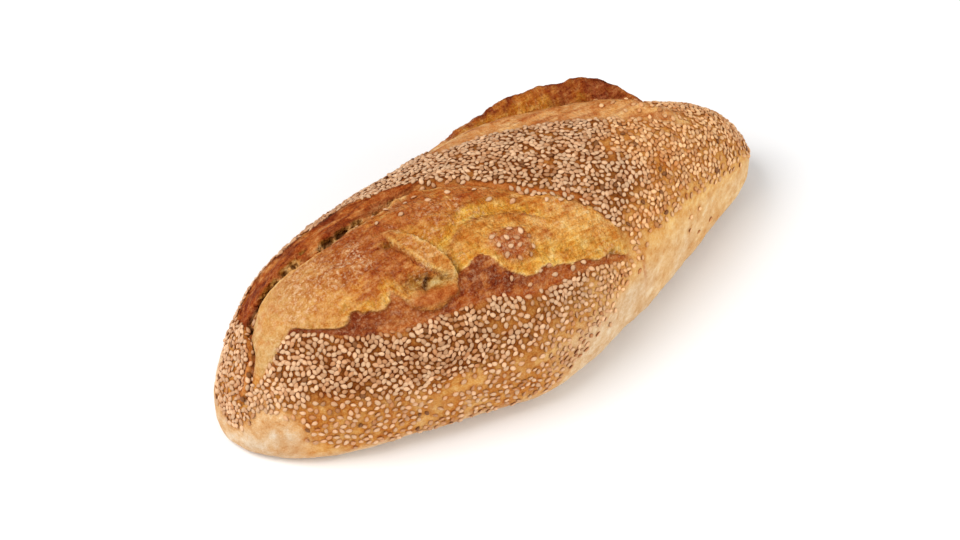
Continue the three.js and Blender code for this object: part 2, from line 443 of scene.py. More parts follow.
# %% Holes under the ear
# station, millimetres above the groove, length, width and depth of each hole
EAR_HOLES = [
    (-0.84, 3.4, 7, 5.5, 3.4), (-0.785, 2.0, 7.5, 4.4, 3.0), (-0.738, 1.8, 4.5, 3.8, 2.4),
    (-0.673, 1.8, 8, 5.0, 3.4), (-0.619, 4.5, 3.5, 2.6, 1.6), (-0.556, 0.9, 7, 4.6, 3.0),
    (-0.489, 1.1, 7.5, 4.4, 2.8), (-0.433, 1.1, 5, 3.4, 2.0), (-0.368, 0.9, 4.5, 2.4, 1.5),
    (-0.3, 0.5, 5, 1.5, 1.2),
]
holes = 0
for at_s, above, long_mm, wide_mm, deep in EAR_HOLES:
    reach_s = ((s - at_s + 0.014 * rough(body, 3, 3, 66.0)) * LENGTH / long_mm) ** 2
    reach_up = ((above_upper - above + 1.6 * rough(body, 4, 3, 55.0)) * 2 / wide_mm) ** 2
    holes = holes + deep * np.exp(-(reach_s + reach_up) ** 3)
fibres = rough(body * (1, 0.3, 0.3), 1.7, 2, 37.0)
holes = holes * smooth(0, 0.3, near_open) * (1 - 0.45 * smooth(0.15, 0.5, fibres))
# the pale rim of torn crumb beside the groove
strand_line = near_open * tear * hump(-2.9 - 0.6 * ragged, 0.8, above_upper) * smooth(-0.84, -0.76, s)
print("deepest hole", round(float(holes.max()), 1), "mm")

# %% [markdown]
# ## Fold, valley and island of the bloom
# A leaf of torn dough folded over on the bloom and left a pit with a dark slit beside it.
# Further right a ragged valley of yellow crumb runs round a small island of browned crust.
# Each could be sculpted. We place them by line and by spot, so the script can repeat them.

# %% Fold and its pits
# the free edge of the fold: degrees from the crest, then station
FOLD_EDGE = [(-34, -0.31), (-30, -0.297), (-21, -0.302), (-14, -0.324), (-6, -0.356), (2, -0.395)]
# the other edge of that fold, which makes it a pointed leaf
LEAF_EDGE = [
    (-34, -0.31), (-27, -0.339), (-23, -0.361), (-18, -0.383), (-14, -0.39), (-7, -0.412), (2, -0.42),
]
past_fold = (s - along(FOLD_EDGE, angle)) * LENGTH / 2 + 0.5 * ragged
past_leaf = (s - along(LEAF_EDGE, angle)) * LENGTH / 2 + 0.5 * ragged
fold_window = in_bloom * smooth(-34, -30, angle) * (1 - smooth(-6, 3, angle))
fold_drop = fold_window * smooth(-0.2, 0.9, past_fold) * np.exp(-np.maximum(past_fold, 0) / 7)
fold_lip = fold_window * (1 - smooth(-0.2, 0.6, past_fold)) * np.exp(np.minimum(past_fold, 0) / 6)
fold_pits = in_bloom * np.clip(spot(-0.415, -26.5, 12, 6, -14) + spot(-0.35, -30, 14, 5, -8), 0, 1)
slit = spot(-0.392, -28, 6.5, 1.5, 58)
leaf = fold_window * smooth(-0.4, 0.5, past_leaf) * (1 - smooth(-0.3, 0.4, past_fold))
leaf_crease = fold_window * hump(-0.7, 0.8, past_leaf) * smooth(-32, -26, angle)
leaf_rims = fold_window * np.maximum(hump(0.6, 0.7, past_leaf), hump(-0.6, 0.8, past_fold))
leaf_pit = in_bloom * spot(-0.432, -4.5, 5, 3.6)
flap = in_bloom * np.clip(1.5 * spot(-0.385, -35.5, 26, 6, -4), 0, 1)
print("leaf covers", round(float(leaf.mean()), 4))

# %% Valley, island and cracks
VALLEY_LINE = [
    (-0.3, -16), (-0.233, -11), (-0.18, -8), (-0.125, -8), (-0.086, -9), (-0.039, -11), (0.0, -15),
    (0.031, -19), (0.08, -24),
]
VALLEY_HALF = 2.9
valley_wander = 1.4 * rough(body, 5, 3, 57.0)
off_valley = np.abs((angle - along(VALLEY_LINE, s)) * arc + valley_wander) / VALLEY_HALF
valley_span = in_bloom * smooth(-0.31, -0.26, s) * (1 - smooth(0.0, 0.07, s))
valley = valley_span * hump(0, 1, off_valley) + 0.6 * in_bloom * spot(0.03, -38, 26, 5, -22)
valley_edge = valley_span * hump(1.25, 0.4, off_valley)
island = in_slash * np.clip(1.8 * spot(-0.098, -28, 17, 13, -30) - 0.3 + 0.4 * ragged, 0, 1)
island_halo = in_bloom * np.clip(1.6 * spot(-0.098, -28, 25, 21, -30) - 0.2 + 0.4 * ragged, 0, 1)
island_halo = island_halo * (1 - smooth(0.0, 0.5, island))
dark_pit = add_spots([(1, 0.2, -54, 4.5, 3.2), (0.6, 0.063, -41, 1.6, 1.4), (0.4, 0.15, -43, 3, 2.6)])
nick = add_spots([(1, -0.944, -7, 3.5, 5), (0.8, -0.897, -1, 3, 2.6)])
# a seam of crust at the left tip, where the near cut ends
tip_seam = smooth(-0.965, -0.94, s) * (1 - smooth(-0.88, -0.86, s))
tip_seam = tip_seam * smooth(-40, -25, angle) * (1 - smooth(30, 45, angle))
tip_ledge = tip_seam * hump(1.9, 2.1, above_upper + 0.8 * ragged)
tip_gap = tip_seam * hump(-0.3, 0.7, above_upper)
crease = spot(0.325, -78, 1.8, 15, 4)
upper_crack = hump(-0.5, 0.55, above_upper) * smooth(-0.36, -0.26, s) * (1 - smooth(-0.03, 0.12, s))
print("valley and island cover", round(float(valley.mean()), 4), round(float(island.mean()), 4))

# %% [markdown]
# ## Fine relief
# Torn crumb is lumpy and stringy, baked skin is nearly smooth, and the ear leans out over
# its holes. A bump map would only shade this. We move the points by it, along the outward
# direction, so that rims and holes cast real shadows and show from the side.

# %% Noise of each surface
strands = rough(body * (0.16, 1, 1), 3.2, 2, 33.0)
bloom_noise = 0.8 * rough(body * (0.5, 1, 1), 13, 2, 1.0) + 0.5 * rough(body, 4.2, 4, 9.0)
crust_noise = 0.4 * rough(body, 13, 2, 2.0) + 0.18 * rough(body, 3.0, 2, 5.0)
streaks = 0.3 * rough(body * (1.6, 0.5, 0.35), 6, 2, 8.0) * smooth(0.2, 0.4, s)
bloom_lines = smooth(0.2, 0.6, rough(body * (0.3, 1, 1), 3.5, 3, 95.0))
bloom_strands = in_bloom * (0.75 - 0.4 * smooth(-0.3, 0.1, s)) * strands
bloom_strands = bloom_strands * smooth(0.4, 0.8, near_share) * (1 - 0.7 * tongue)
torn_rim = in_slash * (1 - 0.7 * tongue) * 0.6 * smooth(-0.7, 0.7, past_torn)
torn_rim = torn_rim * hump(0.7, 4, np.maximum(past_torn, 0.7)) * (1 - flap_zone)
print("strands", strands.min().round(2), strands.max().round(2))

# %% Skin: each number is a height in millimetres, and a minus sinks the skin
OVERHANG = 1.8
fine = (
    in_bloom * (1 - 0.75 * tongue) * (1 - 0.6 * flap) * bloom_noise
    + bloom_strands
    + (1 - in_bloom) * crust_noise * (1 - 0.5 * in_band)
    + 0.4 * ear_face * strands + 0.5 * ear_face * rough(body, 7, 3, 6.0)
    + torn_rim
    + in_bloom * 0.3 * fibres * (1 - smooth(3, 7, past_torn)) * (1 - tongue)
    - 0.35 * in_bloom * smooth(-0.3, -0.2, s) * bloom_lines
    + in_bloom * 0.3 * fibres * np.clip(fold_drop + valley, 0, 1)
    - 0.8 * in_band * smooth(0, 2.5, -below_lower)
    + 0.7 * streaks * smooth(40, 60, -signed_angle)
    - holes
    - 3.4 * fold_drop + 0.7 * fold_lip - 2.4 * fold_pits - 1.5 * slit * in_bloom
    + 0.9 * leaf + 0.4 * leaf_rims - 1.4 * leaf_crease - 1.4 * leaf_pit + 0.7 * strand_line
    + 1.2 * flap - 1.5 * valley + 0.5 * valley_edge - 1.4 * dark_pit * in_slash
    + 1.3 * island - 0.5 * island_halo
    - 0.7 * upper_crack
    - 1.9 * nick + 1.4 * tip_ledge - 1.2 * tip_gap
    - 0.9 * crease
    + 0.45 * in_far * strands
    + far_torn * (0.9 * rough(body, 5, 4, 4.0) + 0.3 * rough(body * (2, 0.5, 0.5), 4, 2, 44.0))
)
overhang = near_open * tear * smooth(0.3, 1, ear_climb) * hump(1, 0.35, np.maximum(ear_climb, 1))
skin = body + normal * fine[..., None] - tangent * (OVERHANG * overhang)[..., None]
skin[..., 2] = np.maximum(skin[..., 2], 0)
print("skin", skin.reshape(-1, 3).min(0).round(1), skin.reshape(-1, 3).max(0).round(1))

# %% [markdown]
# ## Browning
# Heat browns what stands proud and leaves hollows and the underside pale. A crust could be
# coloured by noise alone, but then the browning would ignore the cuts. We lay a baker's
# palette over the loaf in thin coats, each with its own mask, as a glaze builds up.

# %% Palette, linear colour
PALE_CREAM = (0.77, 0.56, 0.35)
CREAM_GOLD = (0.77, 0.43, 0.15)
GOLD = (0.70, 0.31, 0.065)
TOASTED_GOLD = (0.72, 0.35, 0.095)
FLANK_GOLD = (0.82, 0.455, 0.145)
AMBER = (0.50, 0.155, 0.034)
CARAMEL = (0.39, 0.094, 0.019)
MAHOGANY = (0.22, 0.038, 0.009)
# near black: burnt crust at the ear's edge, and painted shade in pits, the groove and the far crevice
BURNT_AND_SHADE = (0.07, 0.018, 0.004)
SEED_BED = (0.30, 0.095, 0.018)
FLOUR = (0.80, 0.53, 0.31)
TIP_DUST = (0.66, 0.46, 0.30)
YELLOW_CRUMB = (0.68, 0.305, 0.042)
# olive: crumb of the far bloom, and painted shade in hollows, pits, holes and pores of the yellow crumb
OLIVE_CRUMB_AND_SHADE = (0.32, 0.155, 0.022)
PALE_CRUMB = (0.74, 0.38, 0.085)
STRIP_YELLOW = (0.78, 0.42, 0.09)
TORN_RIM = (0.84, 0.50, 0.18)
TONGUE_LOW = (0.63, 0.40, 0.17)
TONGUE_HIGH = (0.55, 0.29, 0.105)
LEAF_BROWN = (0.58, 0.23, 0.05)
LEAF_RIM = (0.80, 0.46, 0.15)
PIT_STRANDS = (0.62, 0.40, 0.16)
HOLLOW_BROWN = (0.50, 0.18, 0.022)
VALLEY_YELLOW = (0.78, 0.42, 0.06)
VALLEY_BROWN = (0.40, 0.12, 0.02)
HALO_GOLD = (0.80, 0.43, 0.10)
ISLAND_BROWN = (0.44, 0.115, 0.03)
# painted shade at the bottom of the holes under the ear
HOLE_SHADE = (0.10, 0.042, 0.01)
LEDGE_BROWN = (0.55, 0.20, 0.05)
SLOPE_GOLD = (0.64, 0.30, 0.105)
FAR_CRUMB = (0.50, 0.19, 0.02)
FAR_BAKED = (0.41, 0.11, 0.013)
FAR_GOLD = (0.56, 0.22, 0.045)
# browning takes away blue first, then green, then red, and so does the painted shade between the seeds
DARKENING_TAKES = np.array([0.45, 1.0, 1.7])


def all_over(colour):
    """One colour for every point of the skin."""
    return np.zeros(skin.shape) + colour


def mix(colour, other, amount):
    """Blend a grid of colour towards another by a grid of amounts."""
    return colour + (np.asarray(other) - colour) * np.clip(amount, 0, 1)[..., None]


def coat(base, coats):
    """Lay colours over a base in turn, each by its own amount."""
    for colour, amount in coats:
        base = mix(base, colour, amount)
    return base


def toast_and_shade(colour, amount):
    """Brown a grid of colour; between the seeds the same darkening is painted shade. Less than nothing
    pales it.
    """
    return colour * np.exp(-np.asarray(amount)[..., None] * DARKENING_TAKES)


patches = rough(body, 16, 3, 12.0)
mottles = rough(body, 4.5, 3, 15.0)
speckle = rough(body, 2.0, 2, 14.0)
grains = rough(body, 2.6, 3, 29.0)
print("patches from", patches.min().round(2), "to", patches.max().round(2))

# %% [markdown]
# ## Old skin: flanks, tips and underside
# The outer skin is deep gold under the seeds, paler down the flanks, cream on the lower
# right flank and underneath, and floury at the left tip. One colour with a gradient could
# stand for it. We use masks by angle and station, since each part fades its own way.

# %% Colour of the old skin
low_near = smooth(55, 95, -signed_angle)
low_far = smooth(60, 100, signed_angle)
right_flank = smooth(0.02, 0.35, s) * smooth(48, 66, -signed_angle)
right_low = right_flank * smooth(60, 84, -signed_angle)
golden_end = smooth(0.3, 0.58, s + 0.3 * smooth(30, 52, -signed_angle) + 0.1 * patches)
pale_side = smooth(-0.2, 0.03, s) * (1 - smooth(0.26, 0.4, s)) * smooth(50, 70, -signed_angle)
pale_foot = smooth(-0.14, 0.1, s) * (1 - smooth(0.26, 0.5, s)) * smooth(74, 90, -signed_angle)
underside = smooth(100, 122, np.abs(signed_angle))
left_tip = smooth(0.8, 0.93, -s)
# height of the line below which the left tip has no seeds
tip_line = 11 + 15 * smooth(-1, -0.92, s)
tip_low = left_tip * smooth(5, -6, body[..., 2] - tip_line + 4 * patches)
base_ring = smooth(0.3, 0.02, skin[..., 2]) * smooth(120, 150, np.abs(signed_angle))
tint = coat(all_over(SEED_BED), [
    (GOLD, seeded * (0.3 + 0.6 * low_near + 0.4 * low_far + 0.27 * patches)),
    (CREAM_GOLD, seeded * low_near * (0.35 + 0.5 * mottles)),
    (AMBER, 0.45 * seeded * low_near * (1 - right_flank) * smooth(0.0, 0.6, grains)),
    (TOASTED_GOLD, 0.85 * seeded * golden_end),
    (FLANK_GOLD, right_flank * (0.95 + 0.2 * patches)),
    (PALE_CREAM, right_low * (0.42 + 0.2 * patches)),
    (CREAM_GOLD, 0.6 * pale_side * (1 + 0.4 * patches)),
    (PALE_CREAM, pale_foot * (0.85 + 0.25 * patches)),
    (PALE_CREAM, underside * 0.85),
    (GOLD, left_tip * (0.6 + 0.4 * mottles)),
    (CREAM_GOLD, 0.95 * tip_low),
    (PALE_CREAM, tip_low * smooth(-0.3, 0.7, patches + 0.6 * mottles)),
    (TIP_DUST, 0.45 * tip_low),
    (AMBER, base_ring * (0.5 + 0.4 * patches)),
])
print("old skin", tint.reshape(-1, 3).mean(0).round(3))

# %% [markdown]
# ## Torn bloom
# Torn crumb browns only on its high parts: the top of the bloom turns caramel, the strip
# along the torn edge and the valley stay yellow, and flour clings to the left half. It
# could be a colour ramp on height. Named coats let us tune each part by itself.

# %% Colour of the torn bloom
left_bloom = 1 - smooth(-0.5, -0.35, s)
right_bloom = smooth(-0.05, 0.12, s)
brownness = (
    0.9 * smooth(0.35, 0.75, near_share) * (1 - 0.8 * right_bloom)
    + 0.5 * hump(0.55, 0.2, near_share) * hump(-0.5, 0.2, s)
    + 0.55 * patches + 0.45 * mottles - 0.25 * right_bloom
)
crumb_strip = (1 - smooth(3, 8, past_torn + 1.5 * mottles)) * (1 - flap) * (1 - tongue)
right_lines = smooth(-0.3, -0.2, s) * smooth(0.0, 0.6, rough(body * (0.5, 1, 1), 3.0, 3, 95.0))
bloom_tint = coat(all_over(GOLD), [
    (CREAM_GOLD, 0.3 * right_bloom + 0.4 * smooth(-0.1, 0.6, rough(body, 7, 3, 31.0))),
    (PALE_CRUMB, 0.9 * spot(0.12, -42, 36, 12, -35)),
    (AMBER, smooth(0.1, 0.6, brownness) * (1 - 0.7 * tongue)),
    (CARAMEL, 0.85 * smooth(0.55, 1.15, brownness) * (1 - tongue)),
    (YELLOW_CRUMB, crumb_strip),
    (CREAM_GOLD, 0.4 * crumb_strip * smooth(0, 0.6, fibres)),
    (GOLD, 0.4 * fold_lip),
    (LEAF_BROWN, leaf * (0.9 + 0.2 * mottles)),
    # painted shade in the crease outside the leaf's edge
    (CARAMEL, 1.1 * leaf_crease),
    # olive painted shade in the small pit at the leaf's tip
    (OLIVE_CRUMB_AND_SHADE, 0.8 * leaf_pit),
    (PALE_CRUMB, 0.6 * spot(-0.15, -17, 16, 7, -30)),
    (GOLD, 0.7 * spot(-0.15, -9, 26, 9, -35)),
    (AMBER, (0.25 + 0.35 * smooth(0.4, 0.8, near_share)) * right_lines),
    (CARAMEL, 0.6 * spot(-0.28, 0, 32, 14, -12) * smooth(-0.4, 0.4, mottles)),
    # pale rims of the leaf: paler crumb, with a painted highlight along their lit edges
    (LEAF_RIM, 1.1 * leaf_rims * smooth(-0.9, -0.2, mottles)),
])
print("bloom", bloom_tint.reshape(-1, 3).mean(0).round(3))

# %% Colour of the valley, the island and the torn rim
open_crumb = fold_drop + valley
# olive painted shade in the fold's pits, in the shadow along the fold's edge and in patches of the valley
hollow_shade = (
    0.8 * fold_pits + 0.9 * fold_drop * smooth(4, 0.5, past_fold) + 0.4 * valley * smooth(0, 0.5, mottles)
)
bloom_tint = coat(bloom_tint, [
    (YELLOW_CRUMB, 1.3 * open_crumb),
    (CREAM_GOLD, 0.5 * open_crumb * smooth(0, 0.6, fibres)),
    (OLIVE_CRUMB_AND_SHADE, hollow_shade),
    (HOLLOW_BROWN, 0.5 * spot(-0.24, -12, 18, 10) * smooth(-0.5, 0.2, grains)),
    (VALLEY_YELLOW, 0.7 * valley * smooth(-0.6, 0.1, fibres)),
    (VALLEY_BROWN, valley_edge * smooth(-0.5, 0.2, grains)),
    (AMBER, flap),
    (CARAMEL, flap * (0.35 + 0.5 * smooth(-0.2, 0.4, mottles))),
    (STRIP_YELLOW, 0.6 * crumb_strip * smooth(-0.08, 0.0, s)),
    (HALO_GOLD, 0.75 * island_halo),
    (ISLAND_BROWN, 1.3 * island * (0.9 + 0.4 * mottles)),
    (TORN_RIM, 0.8 * hump(0.6, 0.5, past_torn) * (1 - flap) * smooth(-0.6, 0.1, mottles)),
])
print("bloom with its valley", bloom_tint.reshape(-1, 3).mean(0).round(3))

# %% Colour of the tongue and the pits, and the flour
tongue_tint = mix(all_over(TONGUE_LOW), TONGUE_HIGH, smooth(-0.86, -0.72, s + 0.04 * mottles))
bloom_tint = coat(bloom_tint, [
    (tongue_tint, 0.85 * tongue),
    (AMBER, 0.6 * tongue * smooth(0.1, 0.6, speckle + 0.8 * mottles)),
    (YELLOW_CRUMB, 0.45 * tongue * smooth(0.1, 0.6, patches)),
])
bloom_tint = toast_and_shade(bloom_tint, 0.16 * left_bloom * (1 - tongue) * (1 - 0.7 * crumb_strip))
# near-black painted shade in the slit and the dark pits, and in patches of the fold's pits
pit_shade = 1.2 * slit + 0.7 * dark_pit + 0.5 * fold_pits * smooth(0.1, 0.6, -speckle)
bloom_tint = coat(bloom_tint, [
    (PIT_STRANDS, 0.7 * fold_pits * smooth(0.1, 0.5, speckle)),
    (BURNT_AND_SHADE, np.clip(pit_shade, 0, 0.95)),
])
# strength, station, angle, length and width of each floury patch
FLOURY_SPOTS = [
    (0.8, -0.71, 2, 14, 14), (0.8, -0.734, -7, 12, 8), (0.9, -0.66, 9, 14, 10),
    (1.0, -0.6, -6, 18, 9), (0.6, -0.54, 2, 12, 8), (0.7, -0.25, 2, 18, 8),
]
floury = in_bloom * (
    add_spots(FLOURY_SPOTS) + 0.5 * island + 0.25 * left_bloom
    + 0.6 * smooth(0.35, 0.7, rough(body, 8, 2, 47.0))
)
tint = mix(tint, bloom_tint, in_bloom)
print("flour covers", round(float(floury.mean()), 3))

# %% [markdown]
# ## Baked band, ear and holes
# The band below the torn edge and the ear above the groove baked hardest, to mahogany,
# while the holes between them go from pale rims to a near-black painted shade. Real shadow
# darkens a hole in a render too, but shallow wells need this painted shade to read as deep.

# %% Colour of the baked band and the lip
band_dark = (
    1.1 * (1 - smooth(-0.63, -0.56, s)) + 1.5 * spot(-0.5, -33, 18, 14)
    + 1.7 * spot(-0.225, -36, 34, 15, -15) + 0.5 * mottles + 0.3 * patches
)
band_tint = coat(all_over(CARAMEL), [
    (MAHOGANY, smooth(0.1, 0.9, band_dark)),
    (AMBER, 0.7 * smooth(0.0, 0.2, s) + 0.6 * smooth(0.1, 0.6, rough(body, 3.5, 3, 49.0))),
    (AMBER, 0.5 * hump(-0.5, 0.06, s)),
])
near_lip = (1 - in_slash) * near_open * smooth(-0.6, 0.2, below_lower)
near_lip = near_lip * hump(0, 1.6, np.maximum(below_lower, 0))
tint = coat(tint, [(band_tint, in_band), (CARAMEL, 0.7 * near_lip)])
print("band", band_tint.reshape(-1, 3).mean(0).round(3))

# %% Colour of the ear, its holes and the upper edge
ear_tint = coat(all_over(CARAMEL), [
    (MAHOGANY, 0.75 * smooth(-0.2, 0.6, rough(body * (0.4, 1, 1), 4, 3, 61.0))),
    (AMBER, 0.9 * smooth(0.0, 0.6, rough(body * (0.5, 1, 1), 5, 3, 71.0))),
    (MAHOGANY, 0.7 * smooth(0.2, 0.55, rough(body * (0.12, 1, 1), 1.6, 2, 97.0))),
])
past_first_hole = smooth(-0.81, -0.77, s)
pale_rim = strand_line + 0.8 * near_open * tear * hump(1.6, 0.8, above_upper) * hump(0.7, 0.6, holes)
upper_edge = near_open * smooth(0.1, 0.8, 1 - tear) * smooth(-0.5, 0.5, above_upper)
upper_edge = upper_edge * (1 - smooth(0.5, 3.5, above_upper + 3 * ragged))
tint = coat(tint, [
    (ear_tint, ear_face),
    # painted shade in the holes, deeper with their depth: mahogany in the leftmost, olive on the walls,
    # near black at the bottom
    (MAHOGANY, 0.9 * smooth(0.3, 1.2, holes) * smooth(-0.74, -0.79, s)),
    (HOLE_SHADE, 0.85 * smooth(1.0, 2.4, holes)),
    (OLIVE_CRUMB_AND_SHADE, 0.8 * hump(1.2, 0.8, holes) * past_first_hole),
    (CREAM_GOLD, 0.85 * smooth(0.5, 1.2, holes) * smooth(0.25, 0.6, fibres) * past_first_hole),
    (CREAM_GOLD, pale_rim * smooth(-0.8, -0.1, mottles) * (1 - smooth(0.8, 1.6, holes))),
    (BURNT_AND_SHADE, 0.65 * ear_face * smooth(0.84, 0.96, ear_climb) * smooth(-0.3, 0.3, mottles)),
    # painted shade: a dark line down in the groove under the ear
    (BURNT_AND_SHADE, 0.6 * near_open * tear * hump(-0.2, 0.7, above_upper) * smooth(-0.2, 0.5, strands)),
    (AMBER, 0.8 * upper_edge),
    (MAHOGANY, 0.75 * upper_crack * smooth(-0.5, 0.2, mottles)),
    (CARAMEL, 0.5 * upper_edge * smooth(-0.1, 0.5, mottles)),
])
print("ear", ear_tint.reshape(-1, 3).mean(0).round(3))

# %% [markdown]
# ## Far cut
# Behind the crown, the second cut shows a pale stringy slope, a dark crevice and a high
# bloom, yellow in its crumb and deeply baked on its crown. It could reuse the near bloom's
# colours, but it stands higher and baked darker, so it gets coats of its own.

# %% Colour of the far cut
far_crown = smooth(0.42, 0.46, far_share + 0.03 * mottles + 0.05 * smooth(0.3, 0.6, s))
right_crown = smooth(0.3, 0.55, s)
far_low = coat(all_over(FAR_CRUMB), [
    (OLIVE_CRUMB_AND_SHADE, 0.7 * smooth(0, 0.5, mottles)),
    (GOLD, 0.6 * smooth(0.0, 0.5, rough(body, 5, 3, 85.0))),
])
far_high = coat(all_over(FAR_BAKED), [
    (MAHOGANY, 0.7 * smooth(-0.1, 0.5, rough(body, 5, 3, 81.0))),
    (FAR_GOLD, 0.8 * smooth(0.1, 0.6, rough(body, 3.5, 3, 83.0)) * (1 - 0.8 * right_crown)),
    (MAHOGANY, 0.45 * right_crown + 0.6 * smooth(0.25, 0.5, rough(body, 2.6, 2, 93.0))),
])
# near-black painted shade down in the far crevice
crevice_shade = hump(0.385, 0.02, far_share) * smooth(0.3, 0.42, s) * smooth(0.1, 0.6, far_open)
far_tint = coat(all_over(SLOPE_GOLD), [
    (AMBER, 0.6 * smooth(-0.2, 0.6, strands + 0.5 * patches)),
    (CREAM_GOLD, 0.35 * smooth(0.4, 0.6, s) + 0.3 * smooth(0.1, 0.6, mottles)),
    (CARAMEL, 0.6 * smooth(0.25, 0.6, rough(body * (0.14, 1, 1), 1.8, 2, 87.0))),
    (mix(far_low, far_high, far_crown), far_torn),
    (BURNT_AND_SHADE, 0.85 * crevice_shade),
    (CREAM_GOLD, 0.5 * hump(0.345, 0.03, far_share) * (1 - far_torn) * smooth(-0.3, 0.3, strands)),
])
print("far cut", far_tint.reshape(-1, 3).mean(0).round(3))

# %% Last coats and mottling
torn_grain = np.maximum(in_slash * (1 - 0.6 * tongue), far_torn)
tint = coat(tint, [
    (far_tint, in_far),
    # painted shade in the nicks at the left tip
    (CARAMEL, np.clip(1.1 * nick, 0, 0.95)),
    (LEDGE_BROWN, 0.9 * tip_ledge * smooth(-0.7, 0.1, mottles)),
    # painted shade in the gap below the ledge at the left tip
    (MAHOGANY, 0.75 * tip_gap),
    (AMBER, 0.7 * crease),
])
tint = toast_and_shade(tint, -0.16 * speckle - 0.2 * mottles - 0.3 * grains * torn_grain)
tint = np.clip(tint, 0.004, 0.95)
print("whole crust", tint.reshape(-1, 3).mean(0).round(3))

# %% [markdown]
# ## Where the seeds lie
# The wet loaf was rolled in sesame seeds before it was cut, so they sit on the old skin and
# not in the openings, dense on the crown and thinning down the flanks. A particle system
# could scatter them. A density grid of our own lets us set every limit, and it is also
# what darkens the crust between the seeds.

# %% Where seeds grow dense
# station, then the angle at which seeds stop being dense, and at which the last ones lie
NEAR_DENSE_LIMIT = [
    (-1, -46), (-0.83, -54), (-0.58, -76), (-0.33, -76), (-0.11, -68), (0.1, -68), (0.22, -70),
    (0.34, -54), (1, -58),
]
NEAR_LAST_LIMIT = [
    (-1, -85), (-0.85, -92), (-0.7, -108), (-0.5, -118), (-0.27, -116), (-0.1, -107), (0.06, -93),
    (0.18, -87), (0.27, -80), (0.36, -66), (0.58, -63), (1, -76),
]
FAR_DENSE_LIMIT = 74
FAR_LAST_LIMIT = 94
near_dense = along(NEAR_DENSE_LIMIT, s)
near_last = along(NEAR_LAST_LIMIT, s)
bald = smooth(0.25, 0.6, rough(body, 11, 2, 91.0)) * smooth(20, 50, -signed_angle)
density = np.ones(s.shape)
density *= 0.46 + 0.54 * smooth(-14, 12, signed_angle - near_dense)
density *= smooth(-3, 6, signed_angle - near_last)
density *= 0.35 + 0.65 * (1 - smooth(FAR_DENSE_LIMIT - 4, FAR_DENSE_LIMIT + 8, signed_angle))
density *= 1 - smooth(FAR_LAST_LIMIT - 6, FAR_LAST_LIMIT + 3, signed_angle)
density *= 1 - 0.55 * bald
density *= smooth(0.9, 0.99, seeded) * (1 - ear_face) * (1 - 0.8 * tip_ledge) * (1 - 0.9 * upper_edge)
# the few that stayed on the bloom, the band, the rim of the crown, the far slope and the island
strays = (
    0.06 * in_bloom * smooth(-0.45, -0.3, s) * (1 - smooth(0.05, 0.15, s)) * (near_share > 0.78),
    0.15 * in_band * smooth(-0.2, 0.0, s),
    0.3 * in_bloom * smooth(-0.05, 0.05, s) * smooth(-6, -2, above_upper),
    0.3 * in_far * (1 - far_torn) * smooth(0.46, 0.6, s),
    0.28 * in_bloom * (island > 0.4),
)
for stray in strays:
    density = np.maximum(density, stray)
density *= smooth(-1.0, -0.99, s) * (1 - smooth(0.99, 1.0, s))
density *= 1 - smooth(-0.84, -0.89, s) * smooth(2, -2, body[..., 2] - tip_line + 2 * ragged)
print("mean density of seeds", round(float(density.mean()), 3))

# %% [markdown]
# ## Scattering the seeds
# Seeds don't lie inside each other, and they crowd or spread with the density. Copies on
# every vertex would show the grid. So we pick many random places on the skin, weighed by
# area and density, and keep a place only if it is about a seed away from those kept before.

# %% Scatter the seeds
DENSE_GAP = 1.78
LEAST_DENSITY = 0.06
# share of its gap that a seed must keep free
FREE_SHARE = 0.98
CANDIDATES = 90000
# side in millimetres of the boxes in which neighbours are looked for
CELL = 4.0
picker = np.random.default_rng(23)
corner = [skin[:-1], skin[1:], np.roll(skin, -1, axis=1)[1:], np.roll(skin, -1, axis=1)[:-1]]
area = 0.5 * np.linalg.norm(np.cross(corner[2] - corner[0], corner[3] - corner[1]), axis=-1)
weight = (area * density[:-1]).ravel()
chosen = picker.choice(len(weight), CANDIDATES, p=weight / weight.sum())
row, col = np.unravel_index(chosen, area.shape)
u, v = picker.random((2, CANDIDATES, 1))
next_col = (col + 1) % skin.shape[1]
spots = (
    (1 - u) * (1 - v) * skin[row, col] + u * (1 - v) * skin[row + 1, col]
    + u * v * skin[row + 1, next_col] + (1 - u) * v * skin[row, next_col]
)
out = grid_normals(skin)[row, col]
crowding_gap = DENSE_GAP / np.sqrt(np.clip(density[row, col], LEAST_DENSITY, 1))
gaps = crowding_gap * picker.uniform(0.8, 1.15, CANDIDATES)
kept = []
cells = {}
for k in range(CANDIDATES):
    key = tuple((spots[k] // CELL).astype(int))
    near_keys = [
        (key[0] + a, key[1] + b, key[2] + c)
        for a in (-1, 0, 1) for b in (-1, 0, 1) for c in (-1, 0, 1)
    ]
    others = [o for near_key in near_keys for o in cells.get(near_key, ())]
    if others:
        apart = np.linalg.norm(spots[others] - spots[k], axis=1)
        if (apart < gaps[k] * FREE_SHARE).any():
            continue
    cells.setdefault(key, []).append(k)
    kept.append(k)
kept = np.array(kept)
print("seeds", len(kept))

# %% [markdown]
# ## Crust between the seeds
# Between crowded seeds the crust is in shade and baked darker. Shading alone would give
# some of it. We also paint shade, with a little browning, into each point by its distance
# to the nearest seed, which a search tree finds fast, so that the seeds stand out as they do on bread.

# %% Crust darkened between the seeds
seed_tree = kdtree.KDTree(len(kept))
for number, place in enumerate(spots[kept]):
    seed_tree.insert(place, number)
seed_tree.balance()
nearest = np.array([seed_tree.find(point)[2] for point in skin.reshape(-1, 3)]).reshape(s.shape)
crowded = smooth(0.42, 0.85, density)
# how much painted shade, with some browning, each point of the crust gets between the seeds
between = seeded * smooth(2.4, 1.2, nearest) * (1 - 0.6 * left_tip) * (1 - 0.45 * golden_end)
between = between * (1 + 0.5 * patches) * (0.45 + 0.55 * crowded) * (1 - 0.45 * pale_side)
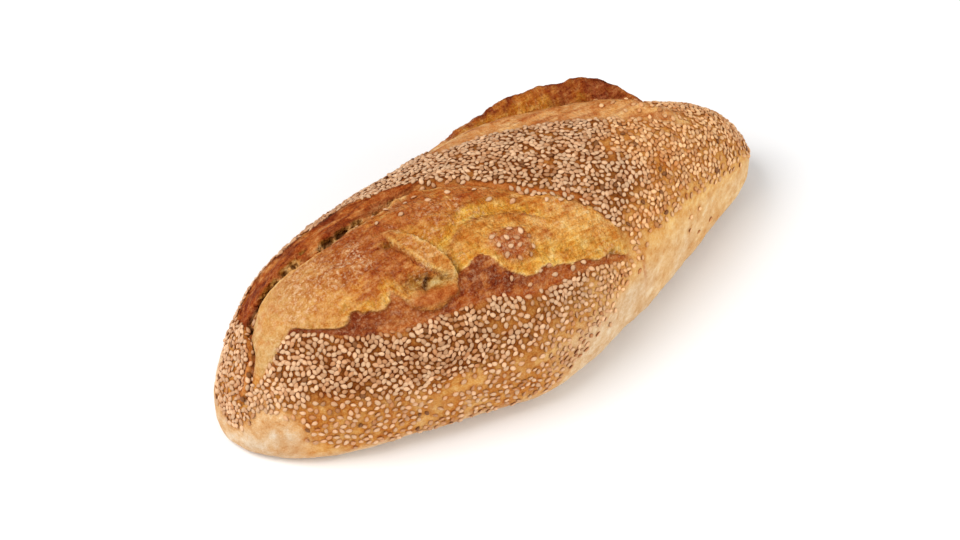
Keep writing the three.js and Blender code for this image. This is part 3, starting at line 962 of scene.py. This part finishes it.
# painted shade between the seeds: a warm darkening and a plain one
tint = toast_and_shade(tint, 0.6 * between) * (1 - 0.28 * between * crowded * (1 - golden_end))[..., None]
print("crust between seeds", round(float(between.mean()), 3))

# %% [markdown]
# ## The loaf as a mesh
# The rings become quads, closed by a fan at each tip. The colour is stored on the points,
# and three masks ride along with it for the material: how torn the crumb is, how open its
# pores are, and where flour lies. Image maps would need an unwrap, and points need none.

# %% Loaf mesh
TIP_LENGTH = 0.15


def close_grid(points):
    """Points and faces of a skin made of rings, closed at both ends."""
    rows, cols = points.shape[:2]
    first = points[0].mean(axis=0) + (-TIP_LENGTH, 0, 0)
    last = points[-1].mean(axis=0) + (TIP_LENGTH, 0, 0)
    verts = np.concatenate([points.reshape(-1, 3), [first, last]])
    i, j = np.meshgrid(np.arange(rows - 1), np.arange(cols), indexing="ij")
    nxt = (j + 1) % cols
    quads = np.stack([i * cols + j, (i + 1) * cols + j, (i + 1) * cols + nxt, i * cols + nxt], axis=-1)
    faces = quads.reshape(-1, 4).tolist()
    tip = rows * cols
    for k in range(cols):
        n = (k + 1) % cols
        faces.append((tip, k, n))
        faces.append((tip + 1, (rows - 1) * cols + n, (rows - 1) * cols + k))
    return verts, faces


def add_values(mesh, name, values):
    """One number per vertex."""
    layer = mesh.attributes.new(name, "FLOAT", "POINT")
    layer.data.foreach_set("value", np.asarray(values, dtype=np.float32).ravel())


def add_colours(mesh, name, colours):
    """One colour per vertex."""
    layer = mesh.color_attributes.new(name, "FLOAT_COLOR", "POINT")
    rgba = np.concatenate([colours, np.ones((len(colours), 1))], axis=1)
    layer.data.foreach_set("color", rgba.astype(np.float32).ravel())


def with_tips(grid):
    """Values of the grid, then of the two tips."""
    flat = grid.reshape((-1,) + grid.shape[2:])
    ends = [grid[0].mean(axis=0), grid[-1].mean(axis=0)]
    return np.concatenate([flat, np.array(ends).reshape((2,) + flat.shape[1:])])


def add_piece(name, points, faces):
    """A smooth piece from points in millimetres, linked into the scene."""
    mesh = bpy.data.meshes.new(name)
    mesh.from_pydata((points * MM).tolist(), [], faces)
    mesh.update()
    mesh.polygons.foreach_set("use_smooth", [True] * len(mesh.polygons))
    piece = bpy.data.objects.new(name, mesh)
    bpy.context.collection.objects.link(piece)
    return piece


torn_crumb = (
    0.6 * in_band + in_bloom * (1 - 0.7 * tongue) * (1 - 0.7 * flap)
    + far_torn + 0.4 * in_far + 0.9 * ear_face
)
open_pores = (
    in_bloom * (crumb_strip + fold_drop + valley + 0.3) * (1 - flap)
    + far_torn * (1 - 0.6 * far_crown)
)
loaf = add_piece("loaf_crust", *close_grid(skin))
loaf.data.name = "crust"
add_colours(loaf.data, "browning_and_shade", with_tips(tint))
add_values(loaf.data, "torn_crumb", with_tips(np.clip(torn_crumb, 0, 1)))
add_values(loaf.data, "open_pores", with_tips(np.clip(open_pores, 0, 1)))
add_values(loaf.data, "flour", with_tips(np.clip(floury + 0.3 * in_band, 0, 1)))
measure = bmesh.new()
measure.from_mesh(loaf.data)
volume = measure.calc_volume(signed=True) / MM ** 3 / 1000
print("loaf volume cm3", round(volume, 1), "faces", len(measure.faces))
measure.free()

# %% [markdown]
# ## Crust material
# The stored browning, with its painted shade, gives the large changes. Crust also varies
# within each patch, in grains too fine for the mesh. More points could hold them, but a
# material's noise costs nothing in geometry. Gamma nodes deepen and pale the colour and keep it warm.

# %% Nodes that the materials share
def new_material(name):
    """A material with its shader, nodes and links ready to use."""
    material = bpy.data.materials.new(name)
    material.use_nodes = True
    nodes = material.node_tree.nodes
    return material, nodes, material.node_tree.links, nodes["Principled BSDF"]


def add_node(nodes, kind, **inputs):
    """A node with some of its inputs set by name."""
    node = nodes.new(kind)
    for key, value in inputs.items():
        node.inputs[key.replace("_", " ")].default_value = value
    return node


def stored(nodes, name):
    """A colour or a mask stored on the mesh."""
    node = nodes.new("ShaderNodeAttribute")
    node.attribute_name = name
    return node.outputs


def math_of(nodes, links, operation, first, second):
    """Two values multiplied or added."""
    node = nodes.new("ShaderNodeMath")
    node.operation = operation
    links.new(first, node.inputs[0])
    links.new(second, node.inputs[1])
    return node.outputs["Value"]


def spread(nodes, links, source, low, high, start=0.0, end=1.0):
    """Spread a value so that start to end becomes low to high."""
    node = add_node(nodes, "ShaderNodeMapRange", From_Min=start, From_Max=end, To_Min=low, To_Max=high)
    links.new(source, node.inputs["Value"])
    return node.outputs["Result"]


def fade(nodes, links, amount, first, second):
    """From a fixed value to a changing one by an amount."""
    node = nodes.new("ShaderNodeMix")
    links.new(amount, node.inputs["Factor"])
    node.inputs["A"].default_value = first
    links.new(second, node.inputs["B"])
    return node.outputs["Result"]


def bumped(nodes, links, shader, height, strength, distance):
    """Fine relief that only bends the light; distance is in metres."""
    node = add_node(nodes, "ShaderNodeBump", Strength=strength, Distance=distance)
    links.new(height, node.inputs["Height"])
    links.new(node.outputs["Normal"], shader.inputs["Normal"])


print("node helpers ready")

# %% Crust material
crust, nodes, links, shader = new_material("baked crust")
shader.inputs["Specular IOR Level"].default_value = 0.06
coords = nodes.new("ShaderNodeTexCoord").outputs["Object"]
torn_mask = stored(nodes, "torn_crumb")["Fac"]
pore_mask = stored(nodes, "open_pores")["Fac"]
flour_mask = stored(nodes, "flour")["Fac"]


def stretched(scale):
    """Places on the crust with one direction drawn out, for noise with a grain."""
    node = add_node(nodes, "ShaderNodeMapping", Scale=scale)
    links.new(coords, node.inputs["Vector"])
    return node.outputs["Vector"]


def noise_of(place, scale, detail, roughness=0.62):
    """Noise for the material at hand; scale is in bumps per metre."""
    node = add_node(nodes, "ShaderNodeTexNoise", Scale=scale, Detail=detail, Roughness=roughness)
    links.new(place, node.inputs["Vector"])
    return node.outputs["Fac"]


def browned_by(colour, power):
    """Deepen or pale the crust's colour, keeping it warm."""
    node = nodes.new("ShaderNodeGamma")
    links.new(colour, node.inputs["Color"])
    links.new(power, node.inputs["Gamma"])
    return node.outputs["Color"]


def stain(colour, mask, amount, stain_colour):
    """Tint the crust by an amount wherever a mask allows it."""
    strength = math_of(nodes, links, "MULTIPLY", amount, mask)
    node = nodes.new("ShaderNodeMix")
    node.data_type = "RGBA"
    links.new(strength, node.inputs["Factor"])
    links.new(colour, node.inputs["A"])
    node.inputs["B"].default_value = (*stain_colour, 1)
    return node.outputs["Result"]


# mottles everywhere, then finer grain, then lengthwise strands where the crumb is torn
mottle_power = spread(nodes, links, noise_of(coords, 480, 6), 0.82, 1.22, 0.32, 0.68)
grain_power = spread(nodes, links, noise_of(coords, 1500, 3), 0.84, 1.2, 0.32, 0.68)
strand_noise = noise_of(stretched((0.22, 1, 1)), 470, 6, 0.7)
strand_power = spread(nodes, links, strand_noise, 0.7, 1.46, 0.34, 0.66)
shade = browned_by(stored(nodes, "browning_and_shade")["Color"], mottle_power)
shade = browned_by(shade, grain_power)
shade = browned_by(shade, fade(nodes, links, torn_mask, 1.0, strand_power))
print("crust material", len(nodes), "nodes so far")

# %% [markdown]
# ## Pores, flour and gloss of the crust
# Torn crumb is pitted with dark pores and crossed by pale fibres, the floury parts are
# dusted, and all of it is matt. Modelled pores would need millions of faces. Stains by noise
# paint the shade in the pores and the colour of the fibres, and a bump gives the light on their rims.

# %% Pores, flour and gloss of the crust
PORE_SCALE = 780.0
fibre_noise = noise_of(stretched((1, 0.4, 0.4)), 640, 5, 0.75)
freckle_noise = spread(nodes, links, noise_of(coords, 1050, 4, 0.7), 0.0, 0.6, 0.56, 0.7)
dust_noise = spread(nodes, links, noise_of(coords, 760, 6, 0.75), 0.0, 0.7, 0.5, 0.62)
shade = stain(shade, torn_mask, freckle_noise, MAHOGANY)
# olive painted shade in the pores of the open crumb
shade = stain(shade, pore_mask, spread(nodes, links, fibre_noise, 0.0, 0.8, 0.52, 0.66), OLIVE_CRUMB_AND_SHADE)
shade = stain(shade, pore_mask, spread(nodes, links, fibre_noise, 0.4, 0.0, 0.36, 0.48), CREAM_GOLD)
shade = stain(shade, flour_mask, dust_noise, FLOUR)
links.new(shade, shader.inputs["Base Color"])
links.new(spread(nodes, links, noise_of(coords, 130, 3), 0.45, 0.72), shader.inputs["Roughness"])

pores = add_node(nodes, "ShaderNodeTexVoronoi", Scale=PORE_SCALE)
links.new(coords, pores.inputs["Vector"])
pore_depth = math_of(nodes, links, "MULTIPLY", pores.outputs["Distance"], torn_mask)
crust_height = math_of(nodes, links, "ADD", pore_depth, noise_of(coords, 650, 4))
bumped(nodes, links, shader, crust_height, 0.8, 0.001)
loaf.data.materials.append(crust)
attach(loaf, "root")
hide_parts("loaf")
print("crust material", len(nodes), "nodes")

# %% [markdown]
# ## Sesame seed
# A hulled sesame seed is a flat drop, 2.8 mm long and pointed at one end. A squashed sphere
# would do from afar, but all its seeds would look like beads. We ring a pointed profile
# with a few faces, since thousands of copies have to stay light.

# %% One seed
SEED_LENGTH = 2.8
SEED_WIDTH = 1.95
SEED_THICK = 1.1
SEED_ROUND = 7
SEED_RINGS = 4
ring_turn = np.linspace(0, 2 * math.pi, SEED_ROUND, endpoint=False)
shares = (np.arange(SEED_RINGS) + 0.6) / (SEED_RINGS + 0.1)
seed_points = [(-0.5 * SEED_LENGTH, 0, 0)]
for share in shares:
    girth = math.sin(math.pi * share ** 0.8) ** 0.75
    for turn in ring_turn:
        seed_points.append((
            (share - 0.5) * SEED_LENGTH,
            0.5 * SEED_WIDTH * girth * math.cos(turn),
            0.5 * SEED_THICK * girth * math.sin(turn),
        ))
seed_points.append((0.5 * SEED_LENGTH, 0, 0))
seed_points = np.array(seed_points)
seed_faces = []
for j in range(SEED_ROUND):
    n = (j + 1) % SEED_ROUND
    seed_faces.append((0, 1 + n, 1 + j))
    for i in range(SEED_RINGS - 1):
        a = 1 + i * SEED_ROUND
        b = a + SEED_ROUND
        seed_faces.append((a + j, a + n, b + n))
        seed_faces.append((a + j, b + n, b + j))
    a = 1 + (SEED_RINGS - 1) * SEED_ROUND
    seed_faces.append((a + j, a + n, len(seed_points) - 1))
seed_faces = np.array(seed_faces)
print("one seed", len(seed_points), "points", len(seed_faces), "triangles")

# %% [markdown]
# ## Laying the seeds
# Each seed stuck at its own angle, tipped a little, and toasted more or less than the next.
# Instances would be lighter, but on points of its own each seed can carry its own colours.
# So all the seeds of one part of the crust become one mesh, half sunk in the skin.

# %% Lay the seeds
HULLED = (0.69, 0.43, 0.245)
TOASTED = (0.44, 0.185, 0.065)
DARK_TOASTED = (0.22, 0.08, 0.02)
DARK_SHARE = 0.012
PITCH_DEGREES = 11
ROLL_DEGREES = 13
# how strongly the seeds at the right end point one slanting way, and which
LEAN = 1.6
LEAN_WAY = (0.5, 0.85, 0.2)


def swing(first, second, degrees_off):
    """Turn two crosswise directions towards each other by an angle."""
    turn = np.radians(degrees_off)
    return (
        first * np.cos(turn) + second * np.sin(turn),
        second * np.cos(turn) - first * np.sin(turn),
    )


def seed_directions(picks):
    """Length, width and thickness directions of each seed."""
    n = len(picks)
    normal_at = out[picks]
    any_way = picker.normal(size=(n, 3))
    lean = LEAN * smooth(0.2, 0.5, s[row[picks], col[picks]])[:, None]
    any_way += lean * LEAN_WAY * np.sign(picker.random((n, 1)) - 0.5)
    long_way = any_way - (any_way * normal_at).sum(1, keepdims=True) * normal_at
    long_way /= np.linalg.norm(long_way, axis=1, keepdims=True)
    long_way, normal_at = swing(long_way, normal_at, picker.normal(0, PITCH_DEGREES, (n, 1)))
    roll = picker.normal(0, ROLL_DEGREES, (n, 1))
    cross_way, normal_at = swing(np.cross(normal_at, long_way), normal_at, roll)
    return long_way, cross_way, normal_at


def seed_colours(picks):
    """Colour of every point of each seed: its toasting, darker at its tips, with painted shade at its
    foot and painted light on the seeds low on the near flank.
    """
    n = len(picks)
    here = (row[picks], col[picks])
    browned = picker.normal(0.3, 0.36, (n, 1)) + 0.3 * patches[here][:, None]
    colour = np.asarray(HULLED) + (np.asarray(TOASTED) - HULLED) * np.clip(browned, 0, 1)
    to_right = golden_end[here][:, None] * (0.24, 0.2, 0.02)
    to_left = 0.08 * (1 - smooth(-0.9, -0.75, s[here][:, None]))
    colour = colour * (1 + to_right + to_left)
    # seeds low on the near flank are lightened: painted light against the shade of their downward faces
    colour = colour * (1 + 0.14 * smooth(60, 85, -signed_angle[here])[:, None])
    colour = colour * picker.uniform(0.86, 1.16, (n, 1))
    dark = picker.random((n, 1)) < DARK_SHARE
    colour = np.where(dark, DARK_TOASTED, colour)
    tip_shade = 1 - 0.25 * smooth(0.25, 0.5, np.abs(seed_points[:, 0:1] / SEED_LENGTH))
    # painted shade: each seed darkens towards its foot, where it sits in the crust
    painted_foot_shade = 0.22 + 0.78 * smooth(-0.5, 0.35, seed_points[:, 2:3] / SEED_THICK * 2)
    return colour[:, None] * ((tip_shade * painted_foot_shade) ** (0.6, 1.0, 1.4))[None]


def lay_seeds(name, picks):
    """One piece of many seeds, each turned, tilted and half sunk in the crust."""
    n = len(picks)
    long_way, cross_way, normal_at = seed_directions(picks)
    local = seed_points[None] * picker.uniform(0.82, 1.08, (n, 1, 1))
    rise = picker.uniform(0.12, 0.42, (n, 1, 1))
    points = (
        spots[picks][:, None]
        + local[..., 0:1] * long_way[:, None]
        + local[..., 1:2] * cross_way[:, None]
        + (local[..., 2:3] + rise) * normal_at[:, None]
    )
    points[..., 2] = np.maximum(points[..., 2], 0.05)
    faces = seed_faces[None] + (np.arange(n) * len(seed_points))[:, None, None]
    piece = add_piece(name, points.reshape(-1, 3), faces.reshape(-1, 3).tolist())
    add_colours(piece.data, "toast_and_shade", seed_colours(picks).reshape(-1, 3))
    print(name, n)
    return piece


print("seeds tip by about", PITCH_DEGREES, "and roll by", ROLL_DEGREES, "degrees")

# %% [markdown]
# ## Seed material
# Seeds are toasted unevenly and a little shinier than the crust, from their oil. One plain
# colour would make them look like plastic beads. The colour stored on each seed is varied
# by a fine noise, which also moves the gloss and gives a slight bump.

# %% Seed material
sesame, nodes, links, shader = new_material("toasted sesame")
shader.inputs["Specular IOR Level"].default_value = 0.25
coords = nodes.new("ShaderNodeTexCoord").outputs["Object"]
grain = noise_of(coords, 900.0, 3.0, 0.5)
shade = nodes.new("ShaderNodeMix")
shade.data_type = "RGBA"
shade.blend_type = "MULTIPLY"
shade.inputs["Factor"].default_value = 1.0
links.new(stored(nodes, "toast_and_shade")["Color"], shade.inputs["A"])
links.new(spread(nodes, links, grain, 0.82, 1.15), shade.inputs["B"])
links.new(shade.outputs["Result"], shader.inputs["Base Color"])
links.new(spread(nodes, links, grain, 0.38, 0.55), shader.inputs["Roughness"])
bumped(nodes, links, shader, grain, 0.2, 0.0002)
print("seed material", len(nodes), "nodes")

# %% [markdown]
# ## Seeds by the part of the crust
# The seeds of the near flank, the far flank and the crown become three pieces. One piece
# would be simpler, and one for each seed far too many. Three can be hidden or changed on
# their own, when a baker wants a loaf with a bare flank.

# %% Seeds by the part of the crust they lie on
here = (row[kept], col[kept])
far_edge = np.where((s[here] > -0.15) & (s[here] < 0.7), far_upper[here] - 1, 30)
on_near = signed_angle[here] < np.where(s[here] > 0.3, -30, lower[here] + 1)
on_far = ~on_near & (signed_angle[here] > far_edge)
for name, part in (
    ("seeds_near_flank", on_near),
    ("seeds_far_flank", on_far),
    ("seeds_crown", ~on_near & ~on_far),
):
    piece = lay_seeds(name, kept[part])
    piece.data.materials.append(sesame)
    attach(piece, "root")

# %% [markdown]
# ## Table and light
# A plain pale table and broad soft lamps, with a bright even room, as for a studio picture
# of food. A sun would be quicker to set up, but its hard shadows would hide the seeds'
# shape, and large lamps wrap round them.

# %% Table
TABLE_HALF = 2.0
TABLE_WHITE = (0.95, 0.95, 0.95, 1)
table_mesh = bpy.data.meshes.new("table")
table_corners = [(x * TABLE_HALF, y * TABLE_HALF, 0) for x, y in ((-1, -1), (1, -1), (1, 1), (-1, 1))]
table_mesh.from_pydata(table_corners, [], [(0, 1, 2, 3)])
table = bpy.data.objects.new("table", table_mesh)
bpy.context.collection.objects.link(table)
table_paint, nodes, links, shader = new_material("white table paint")
shader.inputs["Base Color"].default_value = TABLE_WHITE
shader.inputs["Roughness"].default_value = 0.8
table_mesh.materials.append(table_paint)
print("table", 2 * TABLE_HALF, "m wide")

# %% Light
ROOM_BRIGHTNESS = 0.46


def soft_lamp(name, place, side_m, watts):
    """A square lamp that points at the loaf."""
    lamp = bpy.data.lights.new(name, "AREA")
    lamp.size = side_m
    lamp.energy = watts
    holder = bpy.data.objects.new(name, lamp)
    holder.location = place
    holder.rotation_euler = Vector(place).to_track_quat("Z", "Y").to_euler()
    bpy.context.collection.objects.link(holder)
    print("lamp", name, watts, "W")


soft_lamp("key", (-0.75, 0.1, 1.1), 0.9, 15)
soft_lamp("fill", (0.7, -1.1, 0.7), 0.9, 9)
world = bpy.data.worlds.new("bright room")
world.use_nodes = True
room = world.node_tree.nodes["Background"]
room.inputs["Color"].default_value = (1, 1, 1, 1)
room.inputs["Strength"].default_value = ROOM_BRIGHTNESS
bpy.context.scene.world = world
bpy.context.scene.view_settings.view_transform = "Standard"
